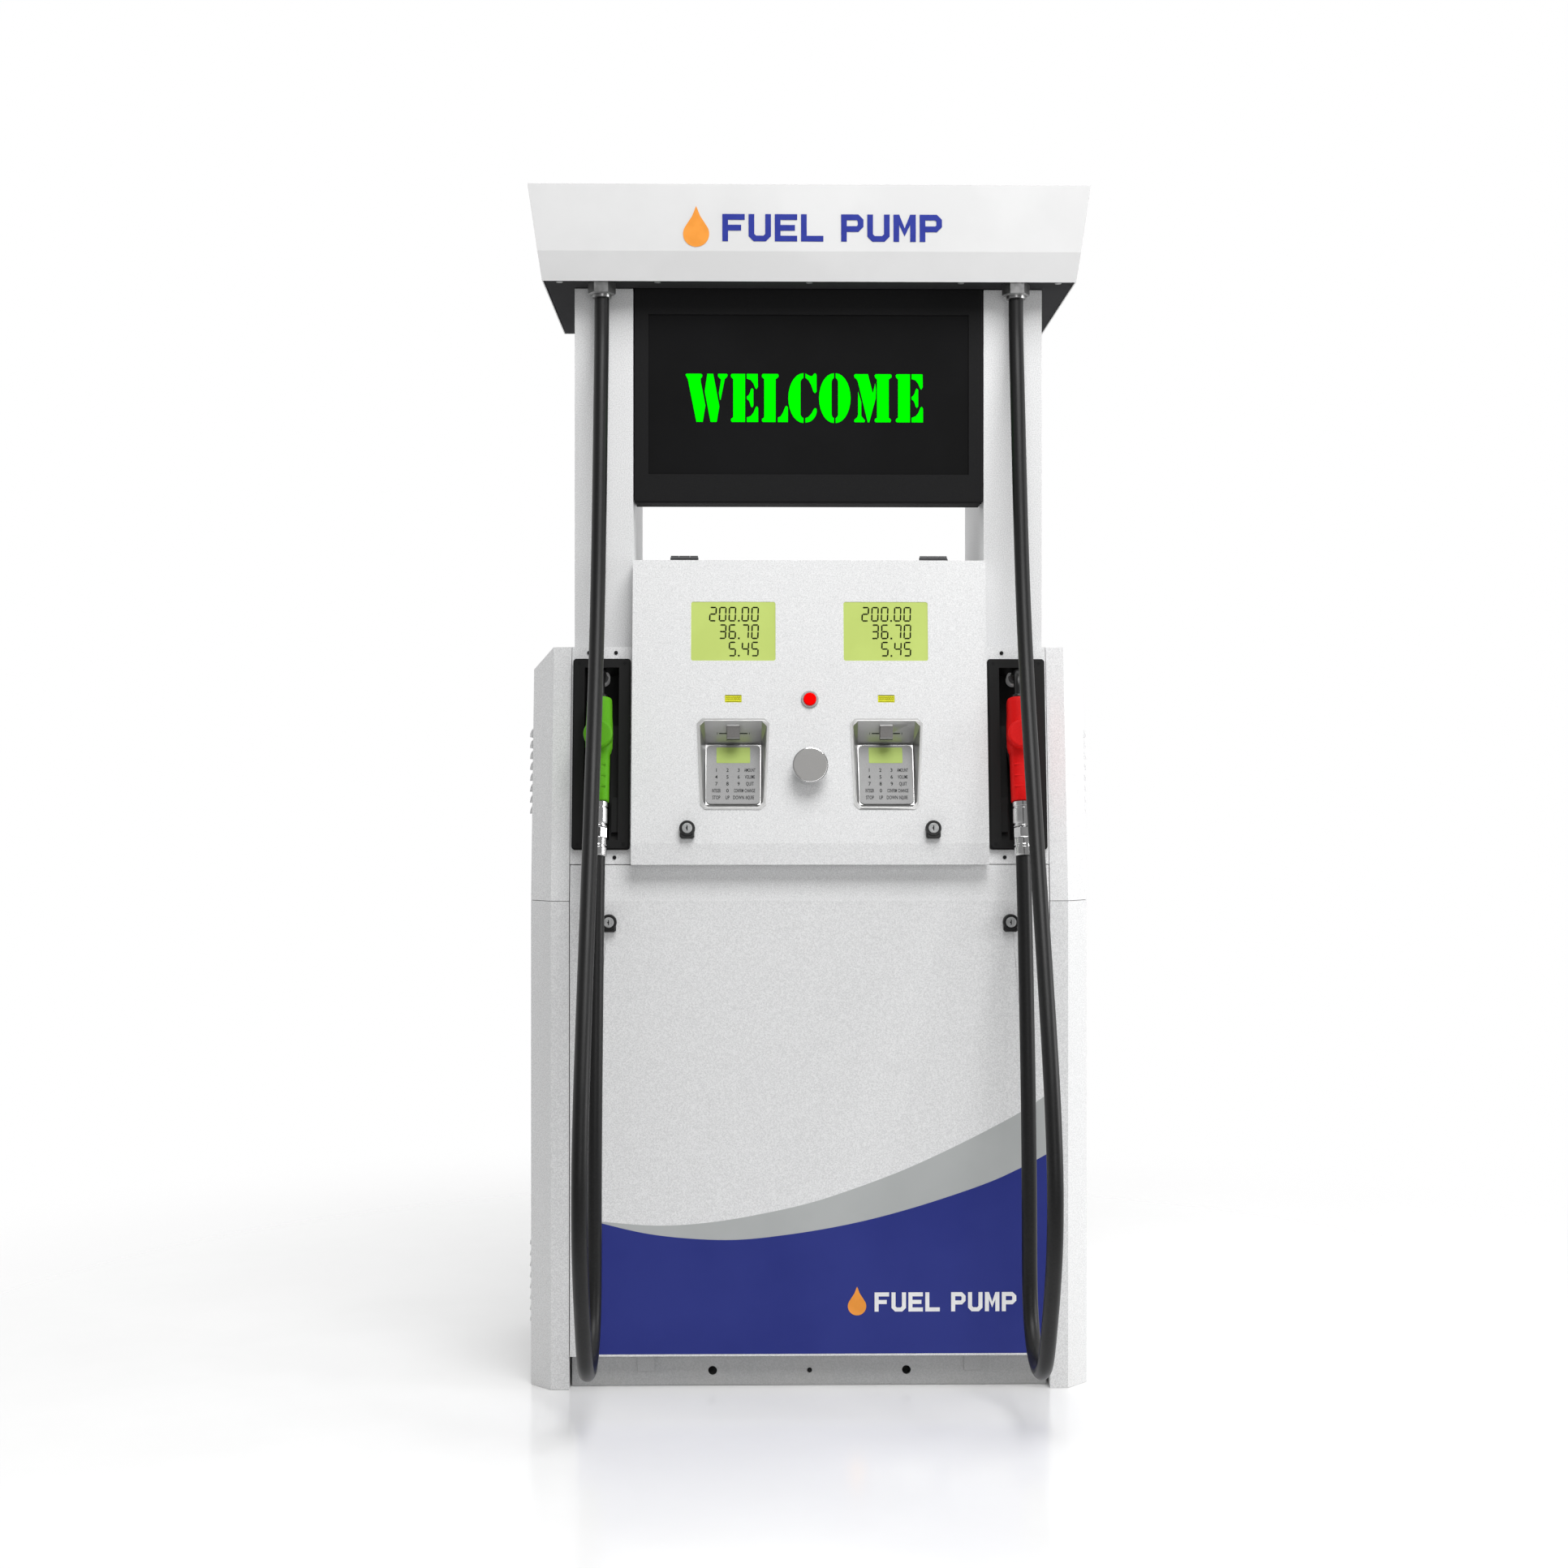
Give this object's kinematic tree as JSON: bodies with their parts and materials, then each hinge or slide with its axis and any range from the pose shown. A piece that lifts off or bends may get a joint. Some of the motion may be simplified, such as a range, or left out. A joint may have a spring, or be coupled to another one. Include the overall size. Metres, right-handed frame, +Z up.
{
  "type": "fuel dispenser",
  "caption": "Free-standing fuel pump with a canopy and screen on columns, a hinged control door, nozzle boots at the sides and hanging hoses.",
  "frame": {"origin": "centre of the base frame's anchor pattern, on the floor", "axes": "+Z up; -Y is the operator side; +X to the right for a person facing the pump"},
  "size_m": [1.04, 1.0216, 2.203],
  "materials": {
    "white_powder_coat": "fine white powder coat with a light speckle",
    "frame_grey": "grey primer on folded steel",
    "canopy_white": "smooth white enamel",
    "canopy_dark": "dark grey paint",
    "bezel_black": "black fine-textured plastic",
    "screen_glass": "black cover glass",
    "circuit_board": "green solder mask",
    "chrome": "bright plated brass",
    "boot_black": "black moulded plastic",
    "black_plastic": "black moulded plastic",
    "cast_grey": "grey hammer paint on castings",
    "aluminium": "as-cast aluminium",
    "brass": "machined brass",
    "pipe_steel": "painted steel pipe",
    "belt_rubber": "fabric-backed V-belt rubber",
    "hose_rubber": "smooth black hose rubber",
    "nozzle_green": "green moulded nozzle cover",
    "nozzle_red": "red moulded nozzle cover",
    "spout_black": "black anodised spout",
    "lcd_green": "backlit yellow-green LCD behind clear plastic",
    "stainless": "brushed stainless steel",
    "palm_grey": "matt turned aluminium",
    "button_red": "red glossy plastic",
    "lock_black": "black moulded lock hood",
    "lock_metal": "plated die-cast lock plug",
    "hinge_dark": "dark grey painted steel hinge"
  },
  "bodies": {
    "root": {"base_frame": "frame_grey", "cross_plate": "frame_grey", "cabinet_frame": "frame_grey", "side_cover_left_lower": "white_powder_coat", "side_cover_right_lower": "white_powder_coat", "side_cover_left_upper": "white_powder_coat", "side_cover_right_upper": "white_powder_coat", "column_left": "white_powder_coat", "column_right": "white_powder_coat", "canopy_shell": "canopy_white", "canopy_underside": "canopy_dark", "display_housing": "bezel_black", "display_glass": "screen_glass", "hose_outlets": "chrome", "infill_panels": "white_powder_coat", "electronics_box": "white_powder_coat", "electronics": "circuit_board", "junction_box": "cast_grey", "motor": "cast_grey", "pump_unit": "aluminium", "drive_belt": "belt_rubber", "flow_meters": "aluminium", "solenoid_valves": "brass", "pipework": "pipe_steel", "rear_upper_panel": "white_powder_coat", "boot_left": "boot_black", "boot_right": "boot_black", "hose_left": "hose_rubber", "hose_right": "hose_rubber", "hinge_brackets": "hinge_dark"},
    "control_door": {"control_door": "white_powder_coat", "door_hinge_leaves": "hinge_dark", "lcd_windows": "lcd_green", "totalizers": "black_plastic", "keypad_bowls": "stainless", "keypads": "stainless", "button_collars": "lock_metal", "lock_housings": "lock_black"},
    "palm_button": {"palm_button": "palm_grey"},
    "red_button": {"red_button": "button_red"},
    "door_lock_left": {"door_lock_left": "lock_metal"},
    "door_lock_right": {"door_lock_right": "lock_metal"},
    "front_panel": {"front_panel": "white_powder_coat"},
    "panel_lock_left": {"panel_lock_left": "lock_metal"},
    "panel_lock_right": {"panel_lock_right": "lock_metal"},
    "rear_panel": {"rear_panel": "white_powder_coat"},
    "motor_pulley": {"motor_pulley": "aluminium"},
    "pump_pulley": {"pump_pulley": "aluminium"},
    "meter_rotor_left": {"meter_rotor_left": "brass"},
    "meter_rotor_right": {"meter_rotor_right": "brass"},
    "nozzle_left": {"nozzle_left": "nozzle_green", "nozzle_spout_left": "spout_black"},
    "nozzle_lever_left": {"nozzle_lever_left": "black_plastic"},
    "nozzle_swivel_left": {"nozzle_swivel_left": "chrome"},
    "boot_flap_left": {"boot_flap_left": "black_plastic"},
    "nozzle_right": {"nozzle_right": "nozzle_red", "nozzle_spout_right": "spout_black"},
    "nozzle_lever_right": {"nozzle_lever_right": "black_plastic"},
    "nozzle_swivel_right": {"nozzle_swivel_right": "chrome"},
    "boot_flap_right": {"boot_flap_right": "black_plastic"}
  },
  "joints": [
    {"name": "control_door_hinge", "type": "hinge", "parent": "root", "child": "control_door", "pos_m": [0, -0.196, 1.5215], "axis": [-1, 0, 0], "range_deg": [0, 80]},
    {"name": "palm_button_press", "type": "slide", "parent": "control_door", "child": "palm_button", "axis": [0, 0.9907, -0.1358], "range_m": [0, 0.008], "stiffness_N_per_m": 900, "springref_m": -0.006},
    {"name": "red_button_press", "type": "slide", "parent": "control_door", "child": "red_button", "axis": [0, 0.9907, -0.1358], "range_m": [0, 0.003], "stiffness_N_per_m": 900, "springref_m": -0.003},
    {"name": "door_lock_left_turn", "type": "hinge", "parent": "control_door", "child": "door_lock_left", "pos_m": [-0.223, -0.29191, 1.022], "axis": [0, -0.9907, 0.1358], "range_deg": [0, 90]},
    {"name": "door_lock_right_turn", "type": "hinge", "parent": "control_door", "child": "door_lock_right", "pos_m": [0.223, -0.29191, 1.022], "axis": [0, -0.9907, 0.1358], "range_deg": [0, 90]},
    {"name": "front_panel_tilt", "type": "hinge", "parent": "root", "child": "front_panel", "pos_m": [0, -0.262, 0.067], "axis": [1, 0, 0], "range_deg": [0, 2.3]},
    {"name": "panel_lock_left_turn", "type": "hinge", "parent": "front_panel", "child": "panel_lock_left", "pos_m": [-0.366, -0.27, 0.852], "axis": [0, -1, 0], "range_deg": [0, 90]},
    {"name": "panel_lock_right_turn", "type": "hinge", "parent": "front_panel", "child": "panel_lock_right", "pos_m": [0.366, -0.27, 0.852], "axis": [0, -1, 0], "range_deg": [0, 90]},
    {"name": "rear_panel_tilt", "type": "hinge", "parent": "root", "child": "rear_panel", "pos_m": [0, 0.262, 0.067], "axis": [-1, 0, 0], "range_deg": [0, 30]},
    {"name": "motor_spin", "type": "hinge", "parent": "root", "child": "motor_pulley", "pos_m": [-0.06, 0.06, 0.165], "axis": [1, 0, 0], "continuous": true},
    {"name": "pump_spin", "type": "hinge", "parent": "root", "child": "pump_pulley", "pos_m": [-0.06, 0.06, 0.4], "axis": [1, 0, 0], "continuous": true},
    {"name": "meter_left_spin", "type": "hinge", "parent": "root", "child": "meter_rotor_left", "pos_m": [-0.25, 0.06, 0.7], "axis": [0, 0, 1], "continuous": true},
    {"name": "meter_right_spin", "type": "hinge", "parent": "root", "child": "meter_rotor_right", "pos_m": [0.25, 0.06, 0.7], "axis": [0, 0, 1], "continuous": true},
    {"name": "nozzle_left_out", "type": "slide", "parent": "root", "child": "nozzle_left", "axis": [0, -0.9907, 0.1358], "range_m": [0, 0.07], "deforming": ["hose_left"]},
    {"name": "nozzle_lever_left_squeeze", "type": "hinge", "parent": "nozzle_left", "child": "nozzle_lever_left", "pos_m": [-0.384, -0.24234, 1.17992], "axis": [-1, 0, 0], "range_deg": [0, 7], "stiffness_Nm_per_rad": 2, "springref_deg": -11.46},
    {"name": "nozzle_swivel_left_turn", "type": "hinge", "parent": "nozzle_left", "child": "nozzle_swivel_left", "pos_m": [-0.384, -0.27, 1.193], "axis": [0, 0.2419, 0.9703], "continuous": true},
    {"name": "boot_flap_left_swing", "type": "hinge", "parent": "root", "child": "boot_flap_left", "pos_m": [-0.382, -0.17309, 1.16994], "axis": [-1, 0, 0], "range_deg": [0, 20.1]},
    {"name": "nozzle_right_out", "type": "slide", "parent": "root", "child": "nozzle_right", "axis": [0, -0.9907, 0.1358], "range_m": [0, 0.07], "deforming": ["hose_right"]},
    {"name": "nozzle_lever_right_squeeze", "type": "hinge", "parent": "nozzle_right", "child": "nozzle_lever_right", "pos_m": [0.384, -0.24234, 1.17992], "axis": [-1, 0, 0], "range_deg": [0, 7], "stiffness_Nm_per_rad": 2, "springref_deg": -11.46},
    {"name": "nozzle_swivel_right_turn", "type": "hinge", "parent": "nozzle_right", "child": "nozzle_swivel_right", "pos_m": [0.384, -0.27, 1.193], "axis": [0, 0.2419, 0.9703], "continuous": true},
    {"name": "boot_flap_right_swing", "type": "hinge", "parent": "root", "child": "boot_flap_right", "pos_m": [0.382, -0.17309, 1.16994], "axis": [-1, 0, 0], "range_deg": [0, 20.1]}
  ],
  "couplings": [
    {"joint": "motor_spin", "follows": "pump_spin", "ratio": 2},
    {"joint": "boot_flap_left_swing", "follows": "nozzle_left_out", "rad_per_m": 5},
    {"joint": "boot_flap_right_swing", "follows": "nozzle_right_out", "rad_per_m": 5}
  ]
}
